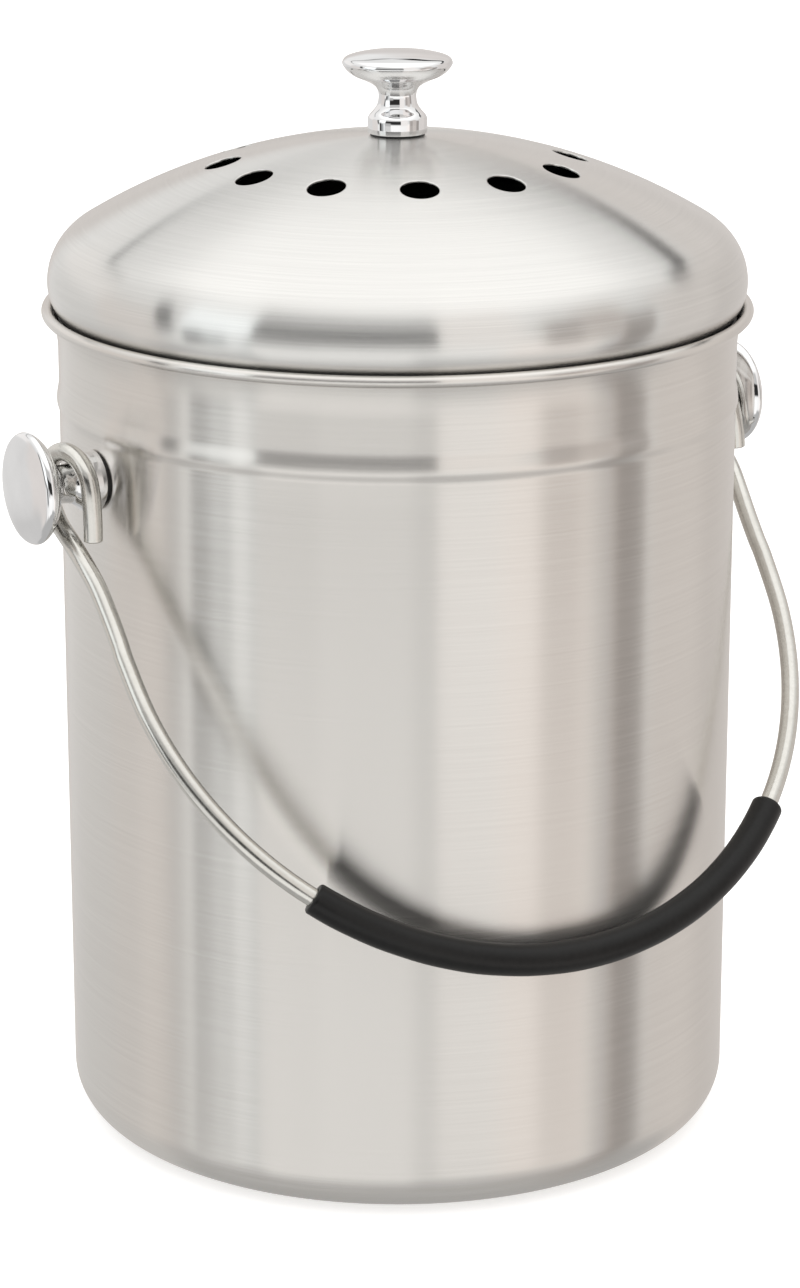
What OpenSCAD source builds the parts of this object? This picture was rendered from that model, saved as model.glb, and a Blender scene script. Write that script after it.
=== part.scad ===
// Stainless compost caddy: a pail with a swinging bail and a vented lift-off lid.
// Millimetres, +Z up. The origin is the middle of the pail's base, on the surface
// that it stands on. The bail's posts lie along X, and the bail rests against the
// front of the wall, on the -Y side.

/* [Pail] */
// Outer radius of the wall
pail_r = 86.5; // [82:0.5:92]
// Height of the middle of the rolled rim
rim_z = 214.6; // [205:0.2:225]
// Thickness of the sheet, pail and lid
sheet_t = 0.6; // [0.5:0.1:0.7]
// Radius of the rounded corner between base and wall
corner_r = 12; // [9:0.5:15]
// Radius of the rolled edge's cross-section
roll_r = 1.43; // [1.3:0.01:1.5]
// How far the pressed bead stands out of the wall
bead_out = 0.6; // [0.3:0.1:0.8]
// Height of the bead's crest below the rim
bead_drop = 22.6; // [20:0.2:25]

/* [Lid] */
// Radius of the dome, seen from the side
dome_r = 157; // [145:1:170]
// Radius of the rounded shoulder
shoulder_r = 16.4; // [14:0.2:18]
// Number of vent holes
vent_n = 12; // [8:1:16]
// Radius of one vent hole
vent_r = 4.8; // [3.5:0.1:5.5]
// Radius of the circle that the vent holes lie on
vent_ring_r = 44.2; // [40:0.2:50]
// Angle of the first vent hole from the front
vent_turn = 6.4; // [0:0.2:29.8]

/* [Knob and posts] */
// Height of the posts below the rim
post_drop = 34.8; // [33:0.2:37]
// Radius of the shank of the screws
screw_r = 2; // [1.7:0.1:2.1]

/* [Bail] */
// Radius of the bend of the bail
bail_r = 94.7; // [94.3:0.1:95.1]
// Distance from the posts down to the middle of that bend
bail_drop = 48.9; // [46:0.1:52]
// Radius of the wire
wire_r = 2.35; // [2:0.05:2.4]
// Outer radius of the grip
grip_r = 4.1; // [3.6:0.1:4.5]
// Half of the angle that the grip takes up on the bend
grip_half = 45; // [30:1:50]

/* [Filter] */
// Thickness of the charcoal pad
filter_t = 7; // [5:0.5:7.2]

/* [Hidden] */
fn_big = 120;
fn_small = 48;
fn_fine = 720;                              // where a thin packing follows the pail's wall

// --- derived sizes ---
rim_r = pail_r + 2.6;                       // circle that the roll's middle lies on
bead_z = rim_z - bead_drop;
post_z = rim_z - post_drop;
seat_u = pail_r + 0.35;                     // flat outer face of the post gaskets
head_u = pail_r - sheet_t - 1.3;            // flat inner face of the post washers
// lid arcs: dome, shoulder and inward curl are tangent to each other
lid_r = pail_r + 2.37;
lid_z = rim_z + 7.2;                        // height of the widest circle
curl_r = 11.5;
curl_a = 45.5;
sh_c = lid_r - shoulder_r;
cu_c = lid_r - curl_r;
dome_z = lid_z - sqrt(pow(dome_r - shoulder_r, 2) - sh_c * sh_c);
dome_a = asin(sh_c / (dome_r - shoulder_r));
lid_top = dome_z + dome_r;
knob_z = lid_top + 0.35;
// collar, filter and retainer hang inside the lid's curl
col_z = rim_z - 11.6;
col_r = pail_r - 2.1;
col_in = pail_r - 4.5;
ret_z = rim_z - 7;
// the bail's plane hangs just below the posts' axis and leans on the wall
hang = 0.5;
lean = asin((pail_r + grip_r + 0.3) / (bail_drop + bail_r));

// --- curves ---
function rev(p) = [for (i = [len(p) - 1 : -1 : 0]) p[i]];
function arc(cx, cy, r, a0, a1, n) = [for (i = [0 : n]) let (a = a0 + (a1 - a0) * i / n) [cx + r * cos(a), cy + r * sin(a)]];
function cr(a, b, c, d, t) = 0.5 * (2 * b + (c - a) * t + (2 * a - 5 * b + 4 * c - d) * t * t + (3 * b - 3 * c + d - a) * t * t * t);
function smooth(p, n) = [for (i = [0 : len(p) - 2]) for (k = [0 : n - 1])
    cr(p[max(i - 1, 0)], p[i], p[i + 1], p[min(i + 2, len(p) - 1)], k / n), p[len(p) - 1]];
function unit(v) = v / norm(v);

// --- pail ---
// offset of the wall from its own radius: bead, then flare into the roll
function bead_at(z) = z < bead_z ? bead_out * pow(cos(90 * min(1, (bead_z - z) / 3.1)), 2)
                                 : bead_out * pow(cos(90 * min(1, (z - bead_z) / 4.9)), 2);
function flare_at(z) = (2.6 - roll_r + sheet_t) * pow(max(0, (z - rim_z + 10) / 10), 2.2);
wall_zs = concat([for (i = [0 : 5]) bead_z - 3.1 + 3.1 * i / 5], [for (i = [1 : 6]) bead_z + 4.9 * i / 6],
                 [for (i = [0 : 7]) rim_z - 10 + 10 * i / 7]);
module pail_sheet() {
    // a shallow ring is pressed up into the flat base to stiffen it
    outer = concat([[0, 0], [54, 0], [55.5, 0.8], [60.5, 0.8], [62, 0]], arc(pail_r - corner_r, corner_r, corner_r, -90, 0, 10),
                   [for (z = wall_zs) [pail_r + bead_at(z) + flare_at(z), z]]);
    inner = concat([[0, sheet_t], [53.8, sheet_t], [55.3, 0.8 + sheet_t], [60.7, 0.8 + sheet_t], [62.2, sheet_t]],
                   arc(pail_r - corner_r, corner_r, corner_r - sheet_t, -90, 0, 10),
                   [for (z = wall_zs) [pail_r - sheet_t + bead_at(z) + flare_at(z), z]]);
    polygon(concat(outer, rev(inner)));
}
module bucket_shell() color([0.79, 0.78, 0.76]) difference() {
    union() {
        rotate_extrude($fn = fn_big) pail_sheet();
        rotate_extrude($fn = fn_big) translate([rim_r, rim_z]) circle(r = roll_r, $fn = 32);
    }
    translate([0, 0, post_z]) rotate([0, 90, 0]) cylinder(r = screw_r + 0.2, h = 2 * pail_r + 20, center = true, $fn = fn_small);
}

// --- knob: the same turned part is used three times ---
knob_pts = [[7.5, 3.6], [7.35, 4.1], [6.8, 4.9], [5.9, 5.9], [5.1, 7.2], [4.8, 8.7], [4.85, 10.1], [5.4, 11.4], [6.6, 12.4],
            [8.6, 13.4], [11, 14.4], [12.7, 15.7], [13.7, 17], [13.85, 17.9], [13.1, 18.9], [11, 19.6], [7.8, 20.2], [4, 20.5], [0, 20.6]];
module knob() color([0.88, 0.88, 0.88]) difference() {
    rotate_extrude($fn = fn_small) polygon(concat([[0, 0], [7.3, 0], [7.5, 0.2]], smooth(knob_pts, 3)));
    translate([0, 0, -1]) cylinder(r = screw_r + 0.05, h = 10.5, $fn = fn_small);
}
// pan-head screw: the shank points up from z = 0, the head hangs below
module screw(length) color([0.7, 0.7, 0.7]) difference() {
    rotate_extrude($fn = fn_small) polygon([[0, -2.2], [2.2, -2.1], [3.2, -1.6], [3.7, -0.8], [3.8, 0], [screw_r, 0],
                                            [screw_r, length - 0.5], [screw_r - 0.5, length], [0, length]]);
    for (a = [0, 90]) rotate([0, 0, a]) translate([-2, -0.4, -3]) cube([4, 0.8, 2]);
}
// side = -1 is the left post, +1 the right
module at_post(side, u) translate([side * u, 0, post_z]) rotate([0, 90 * side, 0]) children();
module post_gasket(side) color([0.05, 0.05, 0.05]) difference() {
    at_post(side, seat_u - 3.35) cylinder(r = 6.9, h = 3.35, $fn = fn_small);
    cylinder(r = pail_r, h = rim_z, $fn = fn_fine);
    at_post(side, pail_r - 4) cylinder(r = screw_r + 0.2, h = 8, $fn = fn_small);
}
module post_washer(side) color([0.12, 0.12, 0.12]) difference() {
    intersection() {
        at_post(side, head_u) cylinder(r = 6, h = 4, $fn = fn_small);
        cylinder(r = pail_r - sheet_t, h = rim_z, $fn = fn_fine);
    }
    at_post(side, head_u - 1) cylinder(r = screw_r + 0.2, h = 8, $fn = fn_small);
}
module left_post() at_post(-1, seat_u) knob();
module right_post() at_post(1, seat_u) knob();
module left_post_gasket() post_gasket(-1);
module right_post_gasket() post_gasket(1);
module left_post_washer() post_washer(-1);
module right_post_washer() post_washer(1);
module left_post_screw() at_post(-1, head_u) screw(10.5);
module right_post_screw() at_post(1, head_u) screw(10.5);

// --- lid ---
function lid_line(t) = concat(
    [for (i = [0 : 26]) let (a = dome_a * i / 26) [(dome_r - t) * sin(a), dome_z + (dome_r - t) * cos(a)]],
    [for (i = [1 : 12]) let (b = (90 - dome_a) * (1 - i / 12)) [sh_c + (shoulder_r - t) * cos(b), lid_z + (shoulder_r - t) * sin(b)]],
    [for (i = [1 : 8]) let (b = -curl_a * i / 8) [cu_c + (curl_r - t) * cos(b), lid_z + (curl_r - t) * sin(b)]]);
module lid_shell() color([0.82, 0.81, 0.79]) difference() {
    rotate_extrude($fn = fn_big) polygon(concat(lid_line(0), rev(lid_line(sheet_t))));
    translate([0, 0, lid_top - 5]) cylinder(r = screw_r + 0.2, h = 10, $fn = fn_small);
    // vent holes are square to the dome
    for (i = [0 : vent_n - 1]) rotate([0, 0, vent_turn + 360 / vent_n * i - 90]) translate([0, 0, dome_z])
        rotate([0, asin(vent_ring_r / dome_r), 0]) translate([0, 0, dome_r - 6]) cylinder(r = vent_r, h = 12, $fn = fn_small);
}
module lid_knob() translate([0, 0, knob_z]) knob();
// thin packings under and over the dome: one face flat, the other the dome's own curve
function dome_at(x, r) = dome_z + sqrt(r * r - x * x);
module lid_knob_gasket() color([0.05, 0.05, 0.05]) rotate_extrude($fn = 96)
    polygon(concat([for (i = [0 : 4]) let (x = screw_r + 0.2 + (6.7 - screw_r) * i / 4) [x, dome_at(x, dome_r)]], [[6.9, knob_z], [screw_r + 0.2, knob_z]]));
module lid_knob_washer() color([0.12, 0.12, 0.12]) rotate_extrude($fn = 96)
    polygon(concat([[screw_r + 0.2, lid_top - sheet_t - 1.2], [6, lid_top - sheet_t - 1.2]],
                   [for (i = [4 : -1 : 0]) let (x = screw_r + 0.2 + (5.8 - screw_r) * i / 4) [x, dome_at(x, dome_r - sheet_t) - 0.03]]));
module lid_knob_screw() translate([0, 0, lid_top - sheet_t - 1.2]) screw(10);

// moulded ring: clips over the lid's curl and drops into the pail's mouth
module lid_collar() color([0.09, 0.09, 0.09]) {
    rotate_extrude($fn = fn_big) polygon([
        [col_in, col_z + 0.6], [col_in + 0.6, col_z], [col_r - 1, col_z], [col_r, col_z + 1.4],
        [col_r, rim_z - 3], [pail_r - 0.5, rim_z - 2.8], [pail_r - 0.2, rim_z - 2.4], [pail_r - 0.2, rim_z - 1.5], [pail_r - 0.6, rim_z - 1.2],
        [col_r, rim_z - 1.2], [col_r, rim_z + 9], [col_r - 0.5, rim_z + 9.4],
        [pail_r - 8.4, rim_z + 9.4], [pail_r - 9, rim_z + 8.8], [pail_r - 9, rim_z + 7.4], [col_in, rim_z + 7.4]]);
    // six clip lugs above the curl
    for (i = [0 : 5]) rotate([0, 0, 60 * i + 21]) rotate_extrude(angle = 18, $fn = fn_big)
        polygon([[col_r - 0.5, rim_z + 0.8], [pail_r - 0.9, rim_z + 0.8], [pail_r - 0.9, rim_z + 1.2], [col_r - 0.5, rim_z + 2.6]]);
}

// --- filter ---
module charcoal_filter() color([0.1, 0.1, 0.11]) translate([0, 0, ret_z + 5.3]) cylinder(r = pail_r - 6, h = filter_t - 0.4, $fn = fn_big);
module ring(r0, r1, h) difference() {
    cylinder(r = r1, h = h, $fn = fn_big);
    translate([0, 0, -1]) cylinder(r = r0, h = h + 2, $fn = fn_big);
}
module filter_retainer() color([0.09, 0.09, 0.09]) {
    translate([0, 0, ret_z]) ring(col_in - 2.6, col_in - 0.4, 5.2);
    difference() {
        translate([0, 0, ret_z + 2.8]) union() {
            for (i = [0 : 5]) rotate([0, 0, 60 * i]) translate([4, -1.5, 0]) cube([col_in - 5, 3, 2.2]);
            for (i = [0 : 5]) rotate([0, 0, 60 * i + 30]) translate([21, -1.2, 0]) cube([col_in - 22, 2.4, 2.2]);
            cylinder(r = 8, h = 2.2, $fn = fn_small);
            ring(20, 23, 2.2);
            ring(39, 41.6, 2.2);
            ring(58, 60.6, 2.2);
        }
        difference() {
            translate([0, 0, ret_z - 1]) cylinder(r = pail_r + 5, h = 10, $fn = fn_big);
            translate([0, 0, ret_z - 2]) cylinder(r = col_in - 1.4, h = 12, $fn = fn_big);
        }
    }
    // two finger tabs to pull the tray out
    for (a = [0, 180]) rotate([0, 0, a]) translate([col_in - 9.5, -7, ret_z + 0.4]) cube([7.5, 14, 1.6]);
    for (a = [0, 180]) rotate([0, 0, a]) translate([col_in - 9.5, -7, ret_z + 0.4]) cube([1.6, 14, 2.8]);
}

// --- bail ---
// a point of the arm: u across, s down the bail's plane, n square to it towards the back
function arm(u, s, n = 0) = [u, -s * sin(lean) + n * cos(lean), -hang - s * cos(lean) - n * sin(lean)];
// a point of the hook: u across, angle round the post from the back, distance from its axis
function hk(u, a, r) = [u, r * cos(a), r * sin(a)];
// the hooks, from the cut end to the arm; the right one hangs a little further out
left_hook = [[pail_r + 6.1, -10.3, -12.3], [pail_r + 6.1, -10.3, -8], [pail_r + 6.2, -10.2, -4], hk(pail_r + 6.35, 178, 9.8),
             hk(pail_r + 6.7, 155, 9.4), hk(pail_r + 7.3, 125, 8.6), hk(pail_r + 8.1, 90, 8), hk(pail_r + 8.8, 55, 7.8),
             hk(pail_r + 9.3, 20, 7.7), hk(pail_r + 9.5, -15, 7.8), hk(pail_r + 9.6, -45, 8.2)];
right_hook = [[pail_r + 12.8, -10.6, -12.3], [pail_r + 12.4, -10.6, -8], [pail_r + 11.7, -10.4, -4], hk(pail_r + 10.9, 178, 9.8),
              hk(pail_r + 10.2, 155, 9), hk(pail_r + 9.6, 125, 8.3), hk(pail_r + 9.3, 90, 7.9), hk(pail_r + 9.2, 55, 7.8),
              hk(pail_r + 9.2, 20, 7.7), hk(pail_r + 9.4, -15, 7.8), hk(pail_r + 9.6, -45, 8.2)];
arm_pts = [arm(pail_r + 9.9, 7, 6.6), arm(pail_r + 10.1, 14, 3.2), arm(pail_r + 9.7, 21, 1), arm(pail_r + 8.9, 28, 0.1),
           arm(bail_r + 0.2, 36), arm(bail_r, 43)];
half_arc = [for (i = [0 : 10]) let (a = 9 * i) arm(bail_r * cos(a), bail_drop + bail_r * sin(a))];
function flip(p) = [-p[0], p[1], p[2]];
left_pts = [for (p = concat(left_hook, arm_pts, half_arc)) flip(p)];
right_pts = rev(concat(right_hook, arm_pts, [for (i = [0 : 9]) half_arc[i]]));
wire_line = smooth(concat(left_pts, right_pts), 2);
n_wire = len(wire_line);
wire_sides = 16;
function tangent(i) = unit(wire_line[min(i + 1, n_wire - 1)] - wire_line[max(i - 1, 0)]);
// side vector of each ring: across the bail on the hooks, in the bail's plane along the bend
bail_n = [0, cos(lean), -sin(lean)];
function side_at(i) = let (t = tangent(i), p = wire_line[i], low = norm([p[1], p[2]]) > 30)
    low ? unit(cross(-bail_n, t)) : unit((p[0] < 0 ? 1 : -1) * ([1, 0, 0] - t[0] * t));
function wire_ring(i, r) = let (t = tangent(i), e = side_at(i), f = cross(t, e), c = wire_line[i])
    [for (k = [0 : wire_sides - 1]) let (a = 360 * k / wire_sides) c + r * (cos(a) * e + sin(a) * f)];
module bail_wire() color([0.8, 0.79, 0.77]) translate([0, 0, post_z]) {
    cap = [wire_line[0] - 0.35 * tangent(0), wire_line[n_wire - 1] + 0.35 * tangent(n_wire - 1)];
    rings = concat([[for (p = wire_ring(0, wire_r - 0.35)) p - 0.35 * tangent(0)]],
                   [for (i = [0 : n_wire - 1]) wire_ring(i, wire_r)],
                   [[for (p = wire_ring(n_wire - 1, wire_r - 0.35)) p + 0.35 * tangent(n_wire - 1)]]);
    m = len(rings);
    s = wire_sides;
    pts = [for (r = rings) for (p = r) p];
    faces = concat([[for (k = [0 : s - 1]) k]],
                   [for (i = [0 : m - 2]) for (k = [0 : s - 1]) let (j = (k + 1) % s) [i * s + k, (i + 1) * s + k, (i + 1) * s + j]],
                   [for (i = [0 : m - 2]) for (k = [0 : s - 1]) let (j = (k + 1) % s) [i * s + k, (i + 1) * s + j, i * s + j]],
                   [[for (k = [s - 1 : -1 : 0]) (m - 1) * s + k]]);
    polyhedron(points = pts, faces = faces, convexity = 8);
}
module handle_grip() color([0.07, 0.07, 0.07])
    translate([0, 0, post_z]) translate(arm(0, bail_drop)) rotate([90 - lean, 0, 0]) rotate([0, 0, 270 - grip_half])
        rotate_extrude(angle = 2 * grip_half, $fn = fn_big) translate([bail_r, 0]) difference() {
            circle(r = grip_r, $fn = 32);
            circle(r = wire_r + 0.12, $fn = 32);
        }

bucket_shell();
left_post();
right_post();
left_post_gasket();
right_post_gasket();
left_post_screw();
right_post_screw();
left_post_washer();
right_post_washer();
lid_shell();
lid_knob();
lid_knob_gasket();
lid_knob_screw();
lid_knob_washer();
lid_collar();
charcoal_filter();
filter_retainer();
bail_wire();
handle_grip();
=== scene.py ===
import math

import bpy
import numpy as np
from mathutils import Matrix, Vector


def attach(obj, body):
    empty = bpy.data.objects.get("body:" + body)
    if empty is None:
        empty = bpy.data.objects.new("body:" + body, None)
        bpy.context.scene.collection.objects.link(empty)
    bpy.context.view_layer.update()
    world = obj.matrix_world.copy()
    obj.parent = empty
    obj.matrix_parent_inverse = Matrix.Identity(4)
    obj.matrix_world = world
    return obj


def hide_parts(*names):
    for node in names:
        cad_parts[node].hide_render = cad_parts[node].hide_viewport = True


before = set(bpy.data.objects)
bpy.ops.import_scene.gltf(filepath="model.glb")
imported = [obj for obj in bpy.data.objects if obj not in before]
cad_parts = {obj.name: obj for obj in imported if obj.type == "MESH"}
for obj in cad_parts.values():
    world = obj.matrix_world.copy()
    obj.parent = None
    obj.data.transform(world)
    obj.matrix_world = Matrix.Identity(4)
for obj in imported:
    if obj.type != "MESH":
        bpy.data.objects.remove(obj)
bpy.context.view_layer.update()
scene = bpy.context.scene
MM = 0.001

# ---------------------------------------------------------------- measures, in millimetres
PAIL_R, RIM_Z, SHEET, CORNER_R, ROLL_R = 86.5, 214.6, 0.6, 12.0, 1.43
BEAD_OUT, BEAD_Z, POST_Z = 0.6, 192.0, 179.8
RIM_R = PAIL_R + 2.6
DOME_R, SHOULDER_R, CURL_R, CURL_A = 157.0, 16.4, 11.5, 45.5
LID_R, LID_Z = PAIL_R + 2.37, RIM_Z + 7.2
SH_C, CU_C = LID_R - SHOULDER_R, LID_R - CURL_R
DOME_Z = LID_Z - math.sqrt((DOME_R - SHOULDER_R) ** 2 - SH_C ** 2)
DOME_A = math.asin(SH_C / (DOME_R - SHOULDER_R))
LID_TOP = DOME_Z + DOME_R
KNOB_Z = LID_TOP + 0.35
SEAT_U = PAIL_R + 0.35
VENT_N, VENT_R, VENT_RING, VENT_TURN = 12, 4.8, 44.2, 6.4
BAIL_R, BAIL_DROP, HANG, WIRE_R, GRIP_R, GRIP_HALF = 94.7, 48.9, 0.5, 2.35, 4.1, 45.0
LEAN = math.asin((PAIL_R + GRIP_R + 0.3) / (BAIL_DROP + BAIL_R))


# ---------------------------------------------------------------- mesh helpers
def new_piece(name, verts, faces, sharp=32.0):
    """A smooth-shaded mesh object; verts are in millimetres."""
    me = bpy.data.meshes.new(name)
    me.from_pydata([tuple(v) for v in np.asarray(verts, float) * MM], [], faces)
    me.validate(clean_customdata=False)
    me.polygons.foreach_set("use_smooth", [True] * len(me.polygons))
    me.set_sharp_from_angle(angle=math.radians(sharp))
    me.update()
    ob = bpy.data.objects.new(name, me)
    scene.collection.objects.link(ob)
    return ob


def arc(cx, cz, r, a0, a1, n):
    return [(cx + r * math.cos(math.radians(a0 + (a1 - a0) * i / n)),
             cz + r * math.sin(math.radians(a0 + (a1 - a0) * i / n))) for i in range(n + 1)]


def spline(points, n):
    """Catmull-Rom through the points, n steps a span."""
    p = [np.array(q, float) for q in points]
    out = []
    for i in range(len(p) - 1):
        a, b, c, d = p[max(i - 1, 0)], p[i], p[i + 1], p[min(i + 2, len(p) - 1)]
        for k in range(n):
            t = k / n
            out.append(0.5 * (2 * b + (c - a) * t + (2 * a - 5 * b + 4 * c - d) * t * t + (3 * b - 3 * c + d - a) * t ** 3))
    out.append(p[-1])
    return out


def fillet_line(points, radius, n=4):
    """Rounds the inner corners of an open polyline of (r, z) points."""
    out = [points[0]]
    for i in range(1, len(points) - 1):
        a, b, c = (np.array(points[k], float) for k in (i - 1, i, i + 1))
        u, v = a - b, c - b
        lu, lv = np.linalg.norm(u), np.linalg.norm(v)
        cut = min(radius, 0.45 * lu, 0.45 * lv)
        s, e = b + u / lu * cut, b + v / lv * cut
        for k in range(n + 1):
            t = k / n
            out.append(tuple((1 - t) ** 2 * s + 2 * t * (1 - t) * b + t * t * e))
    out.append(points[-1])
    return out


def revolve(name, profile, n, closed=False, turn=0.0, sharp=32.0):
    """Turns a profile of (r, z) about Z. The profile runs anticlockwise seen with r to the right and z up."""
    verts, rows, faces = [], [], []
    for r, z in profile:
        if r < 1e-6:
            rows.append([len(verts)] * n)
            verts.append((0, 0, z))
        else:
            first = len(verts)
            for j in range(n):
                t = math.radians(turn) + 2 * math.pi * j / n
                verts.append((r * math.cos(t), r * math.sin(t), z))
            rows.append(list(range(first, first + n)))
    m = len(rows)
    for i in range(m if closed else m - 1):
        a, b = rows[i], rows[(i + 1) % m]
        for j in range(n):
            k = (j + 1) % n
            f = []
            for v in (a[j], a[k], b[k], b[j]):
                if v not in f:
                    f.append(v)
            if len(f) > 2:
                faces.append(tuple(f))
    return new_piece(name, verts, faces, sharp)


def finish_piece(ob, body, replaced, material):
    ob.data.materials.clear()
    ob.data.materials.append(material)
    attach(ob, body)
    if replaced:
        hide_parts(*replaced)
    return ob


# ---------------------------------------------------------------- materials
class Nodes:
    """Short names for building a material's or world's node tree."""

    def __init__(self, tree):
        self.t = tree

    def add(self, kind, **props):
        n = self.t.nodes.new(kind)
        for k, v in props.items():
            setattr(n, k, v)
        return n

    def link(self, a, b):
        self.t.links.new(a, b)

    def put(self, socket, value):
        if isinstance(value, bpy.types.NodeSocket):
            self.link(value, socket)
        else:
            socket.default_value = value

    def math(self, op, a, b=None, c=None, clamp=False):
        n = self.add("ShaderNodeMath", operation=op, use_clamp=clamp)
        for i, v in enumerate((a, b, c)):
            if v is not None:
                self.put(n.inputs[i], v)
        return n.outputs[0]

    def step(self, value, lo, hi, out_lo=0.0, out_hi=1.0, smooth=True):
        n = self.add("ShaderNodeMapRange", interpolation_type="SMOOTHSTEP" if smooth else "LINEAR")
        self.put(n.inputs[0], value)
        for i, v in zip((1, 2, 3, 4), (lo, hi, out_lo, out_hi)):
            n.inputs[i].default_value = v
        return n.outputs[0]

    def xyz(self, x, y, z):
        n = self.add("ShaderNodeCombineXYZ")
        for s, v in zip(n.inputs, (x, y, z)):
            self.put(s, v)
        return n.outputs[0]

    def noise(self, vector, scale, detail=2.0, rough=0.5, distortion=0.0):
        n = self.add("ShaderNodeTexNoise")
        self.link(vector, n.inputs["Vector"])
        n.inputs["Scale"].default_value = scale
        n.inputs["Detail"].default_value = detail
        n.inputs["Roughness"].default_value = rough
        n.inputs["Distortion"].default_value = distortion
        return n.outputs[0]

    def ramp(self, value, stops):
        n = self.add("ShaderNodeValToRGB")
        e = n.color_ramp.elements
        while len(e) < len(stops):
            e.new(0.5)
        for el, (pos, col) in zip(e, stops):
            el.position = pos
            el.color = (*col, 1.0) if len(col) == 3 else col
        self.link(value, n.inputs[0])
        return n.outputs[0]

    def bump(self, height, strength, distance, normal=None):
        n = self.add("ShaderNodeBump")
        n.inputs["Strength"].default_value = strength
        n.inputs["Distance"].default_value = distance
        self.link(height, n.inputs["Height"])
        if normal is not None:
            self.link(normal, n.inputs["Normal"])
        return n.outputs[0]


def material(name):
    m = bpy.data.materials.new(name)
    m.use_nodes = True
    m.node_tree.nodes.clear()
    n = Nodes(m.node_tree)
    out = n.add("ShaderNodeOutputMaterial")
    b = n.add("ShaderNodeBsdfPrincipled")
    n.link(b.outputs[0], out.inputs[0])
    co = n.add("ShaderNodeTexCoord").outputs["Object"]
    return m, n, b, co


def brushed_steel(name, low, high, rough, aniso, streak=1.0, axis="Z"):
    """Sheet brushed round its axis. The streaks run round, so the gloss spreads up and down the section."""
    m, n, b, co = material(name)
    sep = n.add("ShaderNodeSeparateXYZ")
    n.link(co, sep.inputs[0])
    x, y, z = sep.outputs
    r = n.math("SQRT", n.math("ADD", n.math("MULTIPLY", x, x), n.math("MULTIPLY", y, y)))
    s = n.math("SUBTRACT", r, z)
    fine = n.noise(n.xyz(n.math("MULTIPLY", x, 30.0), n.math("MULTIPLY", y, 30.0), n.math("MULTIPLY", s, 3600.0)), 1.0, 2.0, 0.6)
    wide = n.noise(n.xyz(n.math("MULTIPLY", x, 6.0), n.math("MULTIPLY", y, 6.0), n.math("MULTIPLY", s, 1700.0)), 1.0, 2.0, 0.6)
    cloud = n.noise(co, 14.0, 3.0, 0.5)
    grain = n.math("ADD", n.math("MULTIPLY", fine, 0.6), n.math("MULTIPLY", wide, 0.4))
    tone = n.math("ADD", n.math("MULTIPLY", grain, 0.75 * streak), n.math("ADD", n.math("MULTIPLY", cloud, 0.35), 0.45 - 0.375 * streak - 0.175))
    col = n.ramp(tone, [(0.2, low), (0.8, high)])
    n.link(col, b.inputs["Base Color"])
    b.inputs["Metallic"].default_value = 1.0
    n.link(n.step(n.math("ADD", n.math("MULTIPLY", grain, 0.8), n.math("MULTIPLY", cloud, 0.2)), 0.25, 0.75, rough - 0.025, rough + 0.025, smooth=False), b.inputs["Roughness"])
    b.inputs["Anisotropic"].default_value = aniso
    b.inputs["Anisotropic Rotation"].default_value = 0.25
    tg = n.add("ShaderNodeTangent", direction_type="RADIAL", axis=axis)
    n.link(tg.outputs[0], b.inputs["Tangent"])
    n.link(n.bump(grain, 0.09 * streak, 0.00012), b.inputs["Normal"])
    return m


def satin_wire(name):
    m, n, b, co = material(name)
    fine = n.noise(co, 900.0, 2.0, 0.6)
    cloud = n.noise(co, 60.0, 3.0, 0.5)
    n.link(n.ramp(n.math("ADD", n.math("MULTIPLY", fine, 0.5), n.math("MULTIPLY", cloud, 0.5)),
                  [(0.3, (0.60, 0.585, 0.545)), (0.7, (0.70, 0.69, 0.655))]), b.inputs["Base Color"])
    b.inputs["Metallic"].default_value = 1.0
    n.link(n.step(fine, 0.3, 0.7, 0.18, 0.25, smooth=False), b.inputs["Roughness"])
    n.link(n.bump(fine, 0.06, 0.00006), b.inputs["Normal"])
    return m


def chrome(name):
    m, n, b, co = material(name)
    cloud = n.noise(co, 120.0, 3.0, 0.5)
    specks = n.noise(co, 1400.0, 2.0, 0.6)
    n.link(n.ramp(cloud, [(0.3, (0.80, 0.80, 0.805)), (0.7, (0.86, 0.86, 0.865))]), b.inputs["Base Color"])
    b.inputs["Metallic"].default_value = 1.0
    n.link(n.step(n.math("ADD", n.math("MULTIPLY", specks, 0.4), n.math("MULTIPLY", cloud, 0.6)), 0.35, 0.7, 0.012, 0.035, smooth=False), b.inputs["Roughness"])
    n.link(n.bump(cloud, 0.025, 0.0004), b.inputs["Normal"])
    return m


def screw_steel(name):
    m, n, b, co = material(name)
    fine = n.noise(co, 1600.0, 2.0, 0.6)
    cloud = n.noise(co, 260.0, 3.0, 0.6)
    n.link(n.ramp(cloud, [(0.3, (0.46, 0.455, 0.44)), (0.7, (0.60, 0.595, 0.58))]), b.inputs["Base Color"])
    b.inputs["Metallic"].default_value = 1.0
    n.link(n.step(fine, 0.3, 0.7, 0.26, 0.42, smooth=False), b.inputs["Roughness"])
    n.link(n.bump(fine, 0.15, 0.0001), b.inputs["Normal"])
    return m


def rubber(name, dark, light, rough_lo, rough_hi, grain=700.0, strength=0.12, specular=0.5):
    m, n, b, co = material(name)
    fine = n.noise(co, grain, 3.0, 0.6)
    cloud = n.noise(co, 70.0, 3.0, 0.5)
    n.link(n.ramp(n.math("ADD", n.math("MULTIPLY", fine, 0.5), n.math("MULTIPLY", cloud, 0.5)), [(0.3, dark), (0.7, light)]), b.inputs["Base Color"])
    n.link(n.step(n.math("ADD", n.math("MULTIPLY", fine, 0.5), n.math("MULTIPLY", cloud, 0.5)), 0.3, 0.7, rough_lo, rough_hi, smooth=False), b.inputs["Roughness"])
    b.inputs["Specular IOR Level"].default_value = specular
    n.link(n.bump(fine, strength, 0.0002), b.inputs["Normal"])
    return m


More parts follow.
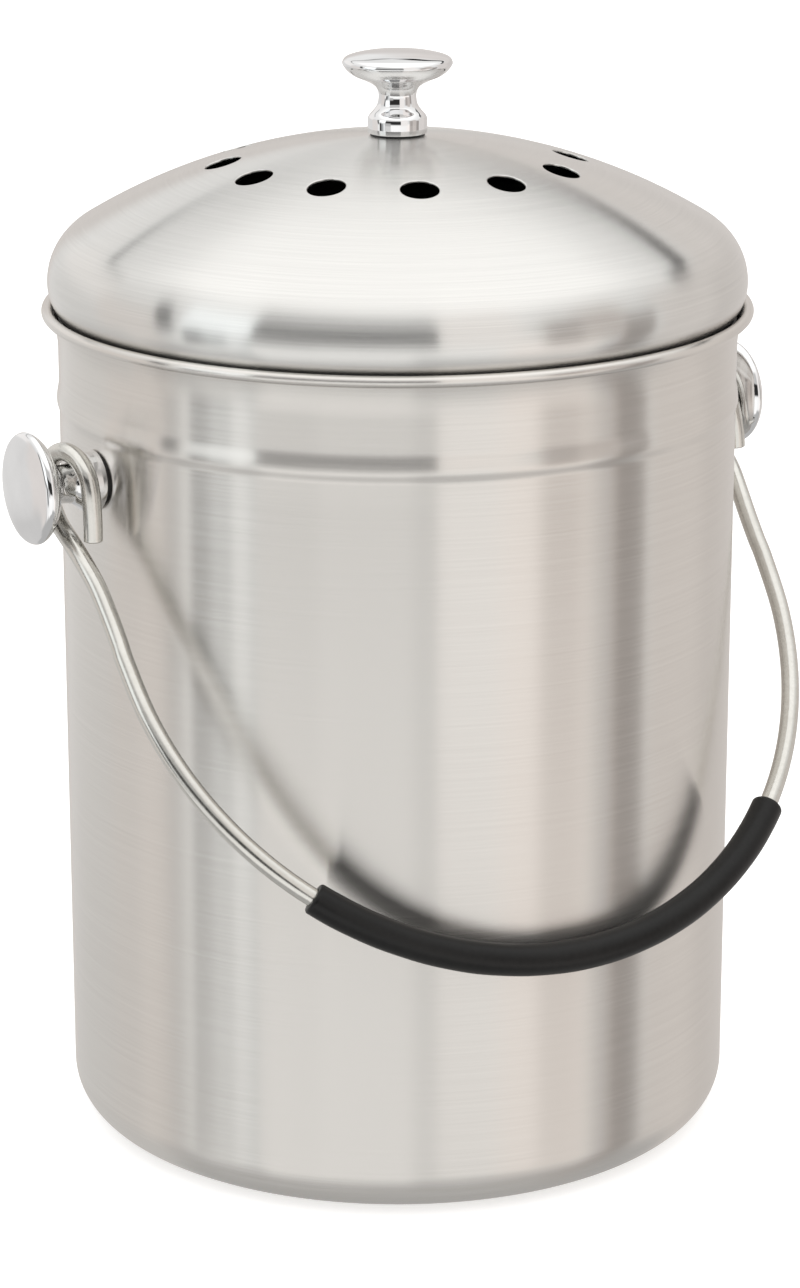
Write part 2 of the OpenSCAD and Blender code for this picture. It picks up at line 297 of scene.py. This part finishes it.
def felt(name):
    m, n, b, co = material(name)
    fibres = n.noise(co, 900.0, 4.0, 0.7, 1.5)
    specks = n.noise(co, 2200.0, 2.0, 0.6)
    clumps = n.noise(co, 120.0, 4.0, 0.6)
    v = n.math("ADD", n.math("MULTIPLY", fibres, 0.45), n.math("ADD", n.math("MULTIPLY", specks, 0.3), n.math("MULTIPLY", clumps, 0.25)))
    n.link(n.ramp(v, [(0.35, (0.006, 0.006, 0.007)), (0.55, (0.02, 0.02, 0.022)), (0.72, (0.07, 0.07, 0.075))]), b.inputs["Base Color"])
    b.inputs["Roughness"].default_value = 0.95
    b.inputs["Sheen Weight"].default_value = 0.25
    b.inputs["Sheen Roughness"].default_value = 0.6
    n.link(n.bump(v, 0.9, 0.0012), b.inputs["Normal"])
    return m


M_BODY = brushed_steel("steel_body_brushed", (0.695, 0.670, 0.637), (0.785, 0.762, 0.730), 0.235, 1.0, 1.2)
M_LID = brushed_steel("steel_lid_brushed", (0.688, 0.680, 0.660), (0.778, 0.771, 0.750), 0.215, 1.0, 1.6)
M_WIRE = satin_wire("steel_wire_satin")
M_CHROME = chrome("polished_chrome")
M_SCREW = screw_steel("screw_steel_zinc")
M_GRIP = rubber("grip_rubber_black", (0.006, 0.006, 0.006), (0.013, 0.0125, 0.012), 0.30, 0.42, specular=0.26)
M_SEAL = rubber("seal_rubber_black", (0.006, 0.006, 0.006), (0.014, 0.014, 0.014), 0.45, 0.6)
M_LINER = rubber("liner_plastic_grained", (0.012, 0.012, 0.013), (0.022, 0.022, 0.023), 0.32, 0.48, 1500.0, 0.2)
M_FELT = felt("charcoal_felt_pad")


# ---------------------------------------------------------------- pail
def bead_at(z):
    d = (BEAD_Z - z) / 3.1 if z < BEAD_Z else (z - BEAD_Z) / 4.9
    return BEAD_OUT * math.cos(math.radians(90 * min(1, d))) ** 2


def flare_at(z):
    return (2.6 - ROLL_R + SHEET) * max(0.0, (z - RIM_Z + 10) / 10) ** 2.2


def wall_heights():
    zs = [CORNER_R + (BEAD_Z - 3.1 - CORNER_R) * i / 24 for i in range(1, 24)]
    zs += [BEAD_Z - 3.1 + 3.1 * i / 10 for i in range(11)]
    zs += [BEAD_Z + 4.9 * i / 12 for i in range(1, 13)]
    zs += [BEAD_Z + 4.9 + (RIM_Z - 10 - BEAD_Z - 4.9) * i / 4 for i in range(1, 4)]
    zs += [RIM_Z - 10 + 9.0 * i / 14 for i in range(15)]
    return zs


def pail_profile():
    ring_out = fillet_line([(50, 0), (54, 0), (55.5, 0.8), (60.5, 0.8), (62, 0), (66, 0)], 0.7)
    ring_in = fillet_line([(50, SHEET), (53.8, SHEET), (55.3, 0.8 + SHEET), (60.7, 0.8 + SHEET), (62.2, SHEET), (66, SHEET)], 0.7)
    zs = wall_heights()
    outer = [(0, 0), (20, 0), (36, 0)] + ring_out
    outer += arc(PAIL_R - CORNER_R, CORNER_R, CORNER_R, -90, 0, 20)
    outer += [(PAIL_R + bead_at(z) + flare_at(z), z) for z in zs]
    # the wall meets the rolled edge in a narrow crease
    outer += [(PAIL_R + 1.47, RIM_Z - 0.65), (PAIL_R + 1.6, RIM_Z - 0.62)]
    roll = arc(RIM_R, RIM_Z, ROLL_R, 228, 540, 44)
    inner = [(PAIL_R - SHEET + bead_at(z) + flare_at(z), z) for z in zs]
    inner = inner[::-1]
    inner += arc(PAIL_R - CORNER_R, CORNER_R, CORNER_R - SHEET, 0, -90, 16)
    inner += ring_in[::-1] + [(36, SHEET), (20, SHEET), (0, SHEET)]
    return outer + roll + inner


pail_body = revolve("pail_body", pail_profile(), 384)
finish_piece(pail_body, "pail", ["bucket_shell"], M_BODY)


# ---------------------------------------------------------------- lid with its ring of vents
SECTOR = 32                       # steps round the lid in one vent's sector
N_LID = SECTOR * VENT_N
SECTOR_DEG = 360 / VENT_N
TURN0 = VENT_TURN - 90 - SECTOR_DEG / 2


def lid_shell_mesh():
    verts, faces = [], []

    def ring_of(r, z):
        first = len(verts)
        for j in range(N_LID):
            t = math.radians(TURN0) + 2 * math.pi * j / N_LID
            verts.append((r * math.cos(t), r * math.sin(t), z))
        return list(range(first, first + N_LID))

    def join(a, b):
        for j in range(len(a)):
            k = (j + 1) % len(a)
            faces.append((a[j], a[k], b[k], b[j]))

    def skin(t):
        """Rings of one side, from the knob's hole to the curl's edge, with a list of rings left open at the vents."""
        rad = DOME_R - t
        lo, hi = VENT_RING - 7.2, VENT_RING + 7.2
        a_lo, a_hi = lo / DOME_R, hi / DOME_R
        top = [ring_of(rad * math.sin(a), DOME_Z + rad * math.cos(a)) for a in [2.2 / DOME_R + (a_lo - 2.2 / DOME_R) * i / 12 for i in range(13)]]
        side = [ring_of(rad * math.sin(a), DOME_Z + rad * math.cos(a)) for a in [a_hi + (DOME_A - a_hi) * i / 10 for i in range(11)]]
        b0 = 90 - math.degrees(DOME_A)
        for i in range(1, 19):
            b = math.radians(b0 * (1 - i / 18))
            side.append(ring_of(SH_C + (SHOULDER_R - t) * math.cos(b), LID_Z + (SHOULDER_R - t) * math.sin(b)))
        for i in range(1, 13):
            b = math.radians(-CURL_A * i / 12)
            side.append(ring_of(CU_C + (CURL_R - t) * math.cos(b), LID_Z + (CURL_R - t) * math.sin(b)))
        # the band between top[-1] and side[0] is meshed cell by cell, out from each vent
        n_side = 20
        lines = {}
        for i in range(VENT_N + 1):
            th = math.radians(TURN0 + SECTOR_DEG * i)
            if i == VENT_N:
                lines[i] = lines[0]
                continue
            line = [top[-1][i * SECTOR]]
            for k in range(1, n_side):
                a = a_lo + (a_hi - a_lo) * k / n_side
                verts.append((rad * math.sin(a) * math.cos(th), rad * math.sin(a) * math.sin(th), DOME_Z + rad * math.cos(a)))
                line.append(len(verts) - 1)
            line.append(side[0][i * SECTOR])
            lines[i] = line
        rims = []
        a_v = math.asin(VENT_RING / DOME_R)
        for i in range(VENT_N):
            th = math.radians(TURN0 + SECTOR_DEG * (i + 0.5))
            c = np.array([math.sin(a_v) * math.cos(th), math.sin(a_v) * math.sin(th), math.cos(a_v)])
            e_t = np.array([-math.sin(th), math.cos(th), 0.0])
            e_m = np.cross(e_t, c)               # away from the lid's middle
            inner_edge = [top[-1][(i * SECTOR + j) % N_LID] for j in range(SECTOR + 1)]
            outer_edge = [side[0][(i * SECTOR + j) % N_LID] for j in range(SECTOR + 1)]
            left, right = lines[i], lines[i + 1]
            loop = inner_edge[:-1] + right[:-1] + outer_edge[:0:-1] + left[:0:-1]
            dirs, angles = [], []
            for v in loop:
                p = np.array(verts[v]) - np.array([0, 0, DOME_Z])
                p /= np.linalg.norm(p)
                dirs.append(p)
                angles.append(math.atan2(p @ e_m, p @ e_t))
            hole_rad = math.asin(VENT_R / rad)
            previous = loop
            steps = [0.14, 0.3, 0.47, 0.64, 0.79, 0.9, 0.965]
            for s in steps:
                row = []
                for p, a in zip(dirs, angles):
                    h = math.cos(hole_rad * 1.03) * c + math.sin(hole_rad * 1.03) * (math.cos(a) * e_t + math.sin(a) * e_m)
                    q = (1 - s) * p + s * h
                    q /= np.linalg.norm(q)
                    verts.append(tuple(q * rad + np.array([0, 0, DOME_Z])))
                    row.append(len(verts) - 1)
                join_rows(previous, row)
                previous = row
            rims.append((previous, c, e_t, e_m, angles, hole_rad))
        return top, side, rims

    def join_rows(a, b):
        for j in range(len(a)):
            k = (j + 1) % len(a)
            faces.append((a[j], a[k], b[k], b[j]))

    top_o, side_o, rims_o = skin(0.0)
    start_inner = len(faces)
    top_i, side_i, rims_i = skin(SHEET)
    # outside skin faces look out, inside skin faces look in
    outside, inside = faces[:start_inner], faces[start_inner:]
    faces[:] = outside + [tuple(reversed(f)) for f in inside]
    for rows, flip in ((top_o, False), (side_o, False), (top_i, True), (side_i, True)):
        for a, b in zip(rows[:-1], rows[1:]):
            for j in range(N_LID):
                k = (j + 1) % N_LID
                f = (a[k], a[j], b[j], b[k])
                faces.append(tuple(reversed(f)) if flip else f)
    # walls of the vents, with a small rounded edge outside
    for (po, c, e_t, e_m, angles, _), (pi, *_rest) in zip(rims_o, rims_i):
        prev = po
        for depth, grow in ((0.02, 0.13), (0.07, 0.05), (0.16, 0.0), (0.5, 0.0)):
            row = []
            for a in angles:
                q = (math.sqrt((DOME_R) ** 2 - VENT_R ** 2) - depth) * c + (VENT_R + grow) * (math.cos(a) * e_t + math.sin(a) * e_m)
                verts.append(tuple(q + np.array([0, 0, DOME_Z])))
                row.append(len(verts) - 1)
            join_rows(prev, row)
            prev = row
        join_rows(prev, pi)
    # knob hole and the curl's edge
    for j in range(N_LID):
        k = (j + 1) % N_LID
        faces.append((top_o[0][j], top_o[0][k], top_i[0][k], top_i[0][j]))
        faces.append((side_o[-1][k], side_o[-1][j], side_i[-1][j], side_i[-1][k]))
    return verts, faces


lv, lf = lid_shell_mesh()
lid_dome = new_piece("lid_dome", lv, lf, 40.0)
finish_piece(lid_dome, "lid", ["lid_shell"], M_LID)


# ---------------------------------------------------------------- knob and posts, one turned part
KNOB = [(7.5, 3.6), (7.35, 4.1), (6.8, 4.9), (5.9, 5.9), (5.1, 7.2), (4.8, 8.7), (4.85, 10.1), (5.4, 11.4), (6.6, 12.4),
        (8.6, 13.4), (11, 14.4), (12.7, 15.7), (13.7, 17), (13.85, 17.9), (13.1, 18.9), (11, 19.6), (7.8, 20.2), (4, 20.5), (0, 20.6)]


def turned_part(name):
    line = [(0, 9.5), (2.05, 9.5), (2.05, 0), (7.3, 0), (7.42, 0.05), (7.5, 0.2), (7.5, 1.4), (7.5, 2.6)]
    line = line[:1] + [(1.0, 9.5)] + line[1:]
    body = [tuple(p) for p in spline(KNOB, 6)]
    # bore first, then the outside up to the middle of the face
    return revolve(name, line + body, 160, sharp=38.0)


knob_top = turned_part("knob_top")
knob_top.data.transform(Matrix.Translation((0, 0, KNOB_Z * MM)))
finish_piece(knob_top, "lid", ["lid_knob"], M_CHROME)
for side, name, node in ((-1, "post_knob_left", "left_post"), (1, "post_knob_right", "right_post")):
    ob = turned_part(name)
    ob.data.transform(Matrix.Translation((side * SEAT_U * MM, 0, POST_Z * MM)) @ Matrix.Rotation(math.radians(90 * side), 4, "Y"))
    finish_piece(ob, "pail", [node], M_CHROME)


# ---------------------------------------------------------------- bail wire and its grip
def arm(u, s, n=0.0):
    return (u, -s * math.sin(LEAN) + n * math.cos(LEAN), -HANG - s * math.cos(LEAN) - n * math.sin(LEAN))


def hk(u, a, r):
    return (u, r * math.cos(math.radians(a)), r * math.sin(math.radians(a)))


P = PAIL_R
LEFT_HOOK = [(P + 6.1, -10.3, -12.3), (P + 6.1, -10.3, -8), (P + 6.2, -10.2, -4), hk(P + 6.35, 178, 9.8), hk(P + 6.7, 155, 9.4),
             hk(P + 7.3, 125, 8.6), hk(P + 8.1, 90, 8), hk(P + 8.8, 55, 7.8), hk(P + 9.3, 20, 7.7), hk(P + 9.5, -15, 7.8), hk(P + 9.6, -45, 8.2)]
RIGHT_HOOK = [(P + 12.8, -10.6, -12.3), (P + 12.4, -10.6, -8), (P + 11.7, -10.4, -4), hk(P + 10.9, 178, 9.8), hk(P + 10.2, 155, 9),
              hk(P + 9.6, 125, 8.3), hk(P + 9.3, 90, 7.9), hk(P + 9.2, 55, 7.8), hk(P + 9.2, 20, 7.7), hk(P + 9.4, -15, 7.8), hk(P + 9.6, -45, 8.2)]
ARM = [arm(P + 9.9, 7, 6.6), arm(P + 10.1, 14, 3.2), arm(P + 9.7, 21, 1), arm(P + 8.9, 28, 0.1), arm(BAIL_R + 0.2, 36), arm(BAIL_R, 43)]


def bend_point(deg, r=BAIL_R):
    a = math.radians(deg)
    return arm(r * math.cos(a), BAIL_DROP + r * math.sin(a))


def wire_line(n):
    half = [bend_point(9 * i) for i in range(11)]
    left = [(-x, y, z) for x, y, z in LEFT_HOOK + ARM + half]
    right = (RIGHT_HOOK + ARM + half[:10])[::-1]
    return spline(left + right, n)


def tube(name, line, radius, sides, chamfer, sharp=40.0):
    """A round rod along a line of points, closed at both ends with a small rounded edge."""
    line = [np.array(p, float) for p in line]
    n = len(line)
    tang = [line[min(i + 1, n - 1)] - line[max(i - 1, 0)] for i in range(n)]
    tang = [t / np.linalg.norm(t) for t in tang]
    e = np.cross(tang[0], [0, 0, 1.0])
    if np.linalg.norm(e) < 0.1:
        e = np.cross(tang[0], [1.0, 0, 0])
    e /= np.linalg.norm(e)
    rings = []
    for i in range(n):
        e = e - (e @ tang[i]) * tang[i]
        e /= np.linalg.norm(e)
        rings.append((line[i], tang[i], e, radius))
    cap_a, cap_b = [], []
    for k in range(4):
        b = math.radians(90 * k / 4)
        cap_a.append((rings[0][0] - tang[0] * chamfer * math.cos(b), tang[0], rings[0][2], radius - chamfer * (1 - math.sin(b))))
        cap_b.append((rings[-1][0] + tang[-1] * chamfer * math.cos(b), tang[-1], rings[-1][2], radius - chamfer * (1 - math.sin(b))))
    rings = cap_a + rings + cap_b[::-1]
    verts, faces = [], []
    for c, t, e, r in rings:
        f = np.cross(t, e)
        for k in range(sides):
            a = 2 * math.pi * k / sides
            verts.append(c + r * (math.cos(a) * e + math.sin(a) * f))
    m = len(rings)
    for i in range(m - 1):
        for k in range(sides):
            j = (k + 1) % sides
            faces.append((i * sides + k, i * sides + j, (i + 1) * sides + j, (i + 1) * sides + k))
    for first, centre, flip in ((0, rings[0][0], True), ((m - 1) * sides, rings[-1][0], False)):
        verts.append(centre)
        c = len(verts) - 1
        for k in range(sides):
            j = (k + 1) % sides
            faces.append((c, first + j, first + k) if flip else (c, first + k, first + j))
    return new_piece(name, verts, faces, sharp)


lift = Matrix.Translation((0, 0, POST_Z * MM))
bail_rod = tube("bail_rod", wire_line(8), WIRE_R, 28, 0.35)
bail_rod.data.transform(lift)
finish_piece(bail_rod, "bail", ["bail_wire"], M_WIRE)


def grip_mesh():
    """A slit sleeve pushed over the wire: the slit winds along its inner, upper side."""
    n_len, n_round = 150, 72
    gap = 2.6
    bore = WIRE_R + 0.12
    front = np.array([0.0, -math.cos(LEAN), math.sin(LEAN)])
    section = []                                   # (angle, radius), anticlockwise round the outside, then back round the bore
    for k in range(n_round + 1):
        a = gap + (360 - 2 * gap) * k / n_round
        r = GRIP_R
        edge = min(a - gap, 360 - gap - a)
        if edge < 4:
            r -= 0.16 * (1 - edge / 4) ** 2
        section.append((a, r))
    for k in range(n_round + 1):
        a = 360 - gap - (360 - 2 * gap) * k / n_round
        section.append((a, bore))
    m = len(section)
    verts, faces = [], []
    ends = [0.0, 0.25, 0.6, 1.1]
    span = 2 * GRIP_HALF
    length = math.radians(span) * BAIL_R
    stations = [(d, k) for k, d in enumerate(ends)]
    marks = [d / length for d, _ in stations] + [ends[-1] / length + (1 - 2 * ends[-1] / length) * i / n_len for i in range(1, n_len)] + [1 - d / length for d, _ in reversed(stations)]
    for t in marks:
        deg = 90 - GRIP_HALF + span * t
        # the bend runs from right to left as the angle grows; keep left to right
        c = np.array(bend_point(deg))
        inward = np.array(bend_point(deg, BAIL_R - 1)) - c
        d_end = min(t, 1 - t) * length
        trim = 0.42 * max(0.0, 1 - d_end / 0.6) ** 2
        # degrees of the slit from the inside of the bend towards the front
        side = 1 - 2 * t
        slit = 21 - 27.5 * side - 8.5 * side * side
        wob = 0.025 * math.sin(9.0 * t * math.pi) + 0.02 * math.sin(23.0 * t * math.pi + 1.3)
        for a, r in section:
            b = math.radians(a + slit)
            rr = r + wob * (0.6 + 0.4 * math.sin(b * 2)) - 0.05 if r > 3.0 else r
            if r > 3.0:
                rr -= trim
            verts.append(c + rr * (math.cos(b) * inward + math.sin(b) * front))
    rows = len(marks)
    for i in range(rows - 1):
        for k in range(m):
            j = (k + 1) % m
            faces.append((i * m + k, (i + 1) * m + k, (i + 1) * m + j, i * m + j))
    half = n_round + 1
    for row, flip in ((0, False), (rows - 1, True)):
        for k in range(half - 1):
            a, b = row * m + k, row * m + k + 1
            c, d = row * m + m - 2 - k, row * m + m - 1 - k
            f = (a, b, c, d)
            faces.append(tuple(reversed(f)) if flip else f)
    return verts, faces


gv, gf = grip_mesh()
grip_sleeve = new_piece("grip_sleeve", gv, gf, 50.0)
grip_sleeve.data.transform(lift)
finish_piece(grip_sleeve, "bail", ["handle_grip"], M_GRIP)


# ---------------------------------------------------------------- charcoal pad
def pad_mesh():
    rng = np.random.default_rng(7)
    n, rings = 240, 44
    z0, z1, radius = RIM_Z - 7 + 5.3 + 0.15, RIM_Z - 7 + 5.3 + 6.6 - 0.15, PAIL_R - 6 - 0.3
    waves = [(rng.uniform(0.05, 0.9), rng.uniform(0, 6.28), rng.uniform(0, 6.28)) for _ in range(40)]

    def rough(x, y):
        v = 0.0
        for f, d, ph in waves:
            v += math.sin((x * math.cos(d) + y * math.sin(d)) * f + ph)
        return v / 40 ** 0.5

    profile = [(0.0, z0)] + [(radius * (i / rings), z0) for i in range(1, rings)]
    profile += arc(radius - 1.4, z0 + 1.4, 1.4, -90, 0, 5) + arc(radius - 1.4, z1 - 1.4, 1.4, 0, 90, 5)
    profile += [(radius * (i / rings), z1) for i in range(rings - 1, 0, -1)] + [(0.0, z1)]
    ob = revolve("filter_pad", profile, n, sharp=80.0)
    mid = (z0 + z1) / 2
    for v in ob.data.vertices:
        x, y, z = v.co / MM
        r = math.hypot(x, y)
        k = 0.13 * rough(x, y) * (1 if z > mid else -1)
        if r > radius - 2:
            v.co.x *= 1 + 0.0012 * rough(x * 2, y * 2)
            v.co.y *= 1 + 0.0012 * rough(x * 2, y * 2)
        v.co.z += min(0.14, max(-0.5, k)) * (1 if z > mid else -1) * MM
    return ob


filter_pad = pad_mesh()
finish_piece(filter_pad, "filter_tray", ["charcoal_filter"], M_FELT)

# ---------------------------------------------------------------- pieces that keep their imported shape
for node, m in (("left_post_gasket", M_SEAL), ("right_post_gasket", M_SEAL), ("lid_knob_gasket", M_SEAL),
                ("left_post_washer", M_SEAL), ("right_post_washer", M_SEAL), ("lid_knob_washer", M_SEAL),
                ("left_post_screw", M_SCREW), ("right_post_screw", M_SCREW), ("lid_knob_screw", M_SCREW),
                ("lid_collar", M_LINER), ("filter_retainer", M_LINER)):
    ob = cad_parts[node]
    ob.data.materials.clear()
    ob.data.materials.append(m)

# ---------------------------------------------------------------- camera
CAM_AZ, CAM_PITCH = math.radians(30.6), math.radians(16.64)
CAM_TURN = math.radians(0.036)
cam_data = bpy.data.cameras.new("camera")
cam_data.lens = 110.85
cam_data.sensor_width = 36.0
cam_data.sensor_fit = "AUTO"
cam_data.clip_start = 0.01
cam_data.clip_end = 60
camera = bpy.data.objects.new("camera", cam_data)
scene.collection.objects.link(camera)
camera.location = (-0.9933 * math.sin(CAM_AZ), -0.9933 * math.cos(CAM_AZ), 0.4211)
heading = CAM_AZ + CAM_TURN
look = Vector((math.sin(heading) * math.cos(CAM_PITCH), math.cos(heading) * math.cos(CAM_PITCH), -math.sin(CAM_PITCH)))
camera.rotation_euler = look.to_track_quat("-Z", "Y").to_euler()
scene.camera = camera

# ---------------------------------------------------------------- floor
bpy.ops.mesh.primitive_circle_add(vertices=128, radius=7.0, fill_type="NGON", location=(0, 0, 0))
floor = bpy.context.object
floor.name = "studio_floor"
fm, fn, fb, fco = material("studio_floor_white")
fb.inputs["Base Color"].default_value = (0.93, 0.93, 0.93, 1)
fb.inputs["Roughness"].default_value = 0.9
fb.inputs["Specular IOR Level"].default_value = 0.0
fb.inputs["Emission Color"].default_value = (1, 1, 1, 1)
fb.inputs["Emission Strength"].default_value = 0.45
floor.data.materials.append(fm)
floor.visible_glossy = False
floor.visible_diffuse = False
floor.visible_shadow = False
floor.visible_transmission = False

# ---------------------------------------------------------------- studio light
# A white cove lights the object softly from all round. Panels stand in it at a bearing from
# the camera's side (degrees, right is positive) and a height above the horizon:
# (bearing, half width, softness, from height, to height, softness, brightness, lean, warmth)
PANELS = {
    "back_wall": (180, 32, 20, 2, 46, 10, 0.92, 0, 0),
    "left_wall": (-132, 22, 12, 6, 27, 8, 0.97, 0, 0.5),
    "left_grey": (-130, 26, 12, -38, 4, 8, 0.79, 0, 0.2),
    "warm_card": (-98, 15, 10, -30, 14, 8, 0.79, 0, 1.2),
    "table": (-3, 74, 14, -34, -4, 8, 1.13, 0, 0),
    "table_right": (53, 17, 14, -34, -4, 8, 1.11, 0, 1.5),
    "table_left": (-22, 28, 8, -40, -10, 6, 1.21, 0, 0),
    "left_foot": (-130, 28, 10, -50, -19, 8, 0.67, 0, 0.2),
    "key_box": (26, 16, 12, -8, 46, 8, 0.98, 0, 0.8),
    "camera_gap": (-18.5, 31.5, 2, -4, 20, 6, 0.03, 0, 0),
    "gap_low": (-38, 12, 6, -10, 0, 6, 0.55, 0, 0),
    "gap_top": (-18.5, 31.5, 5, 20, 42, 8, 0.60, 0, 0),
    "left_strip": (-60.75, 13.25, 1.5, 0, 30, 8, 1.41, 0, -1),
    "left_low": (-58, 9, 5, -20, -2, 6, 0.42, 0, -1),
    "left_edge": (-53, 3.5, 4, -30, -2, 6, 0.95, 0, -0.5),
    "left_card": (-69, 4, 4, -19, -1, 6, 0.03, 0, 0),
    "left_flag": (-79.5, 3.6, 2.5, -5, 25, 6, 0.14, -0.21, 0),
    "right_card": (56, 8, 8, -13, 22, 12, 0.42, 0, 2),
    "right_grey": (71, 9, 10, -12, 30, 8, 0.58, 0, 2),
    "right_far": (137, 43, 8, -34, 28, 8, 0.75, 0, 1.2),
    "right_end": (163, 38, 14, -40, 14, 10, 0.67, 0, 1.2),
    "right_flag": (84.5, 6.5, 3, -60, 11, 10, 0.36, 0, 2),
    "right_seam": (149, 30, 6, 29.8, 33.6, 1.5, 0.0, 0, 0),
    "seam_end": (125, 7, 4, 27, 30, 2, 0.20, 0, 0),
    "left_seam": (-149, 30, 6, 29.4, 31.6, 1.5, 0.35, 0, 0),
}


def studio_world():
    w = bpy.data.worlds.new("studio")
    scene.world = w
    w.use_nodes = True
    w.node_tree.nodes.clear()
    n = Nodes(w.node_tree)
    out = n.add("ShaderNodeOutputWorld")
    bg = n.add("ShaderNodeBackground")
    n.link(bg.outputs[0], out.inputs[0])
    d = n.add("ShaderNodeTexCoord").outputs["Generated"]

    def dot(v):
        k = n.add("ShaderNodeVectorMath", operation="DOT_PRODUCT")
        n.link(d, k.inputs[0])
        k.inputs[1].default_value = v
        return k.outputs["Value"]

    ca, sa = math.cos(CAM_AZ), math.sin(CAM_AZ)
    bearing = n.math("MULTIPLY", n.math("ARCTAN2", dot((ca, -sa, 0)), dot((-sa, -ca, 0))), 57.29578)
    height = n.math("MULTIPLY", n.math("ARCSINE", dot((0, 0, 1))), 57.29578)
    # dim below, a lit floor, the walls and a brighter ceiling
    value = n.step(height, -32, -14, 0.52, 0.86)
    for lo, hi, change in ((-8, 4, -0.05), (14, 36, 0.175), (35, 55, 0.37)):
        value = n.math("ADD", value, n.step(height, lo, hi, 0.0, change))
    warmth = n.math("MULTIPLY", value, 0.0)
    for name, (az, half, soft, lo, hi, soft_h, level, lean, warm) in PANELS.items():
        off = n.math("SUBTRACT", bearing, float(az))
        if lean:
            off = n.math("SUBTRACT", off, n.math("MULTIPLY", height, lean))
        off = n.math("ABSOLUTE", n.math("WRAP", off, 180.0, -180.0))
        mask = n.step(off, half - soft / 2, half + soft / 2, 1.0, 0.0)
        mask = n.math("MULTIPLY", mask, n.step(height, lo - soft_h / 2, lo + soft_h / 2))
        mask = n.math("MULTIPLY", mask, n.step(height, hi - soft_h / 2, hi + soft_h / 2, 1.0, 0.0))
        value = n.math("MULTIPLY_ADD", n.math("SUBTRACT", level, value), mask, value)
        warmth = n.math("MULTIPLY_ADD", n.math("SUBTRACT", float(warm), warmth), mask, warmth)
    n.link(value, bg.inputs["Strength"])
    n.link(n.xyz(n.math("MULTIPLY_ADD", warmth, 0.042, 1.0), 0.995, n.math("MULTIPLY_ADD", warmth, -0.022, 0.985)), bg.inputs["Color"])


studio_world()
scene.view_settings.view_transform = "Standard"
scene.view_settings.look = "None"
scene.view_settings.exposure = 0.0
scene.view_settings.gamma = 1.0
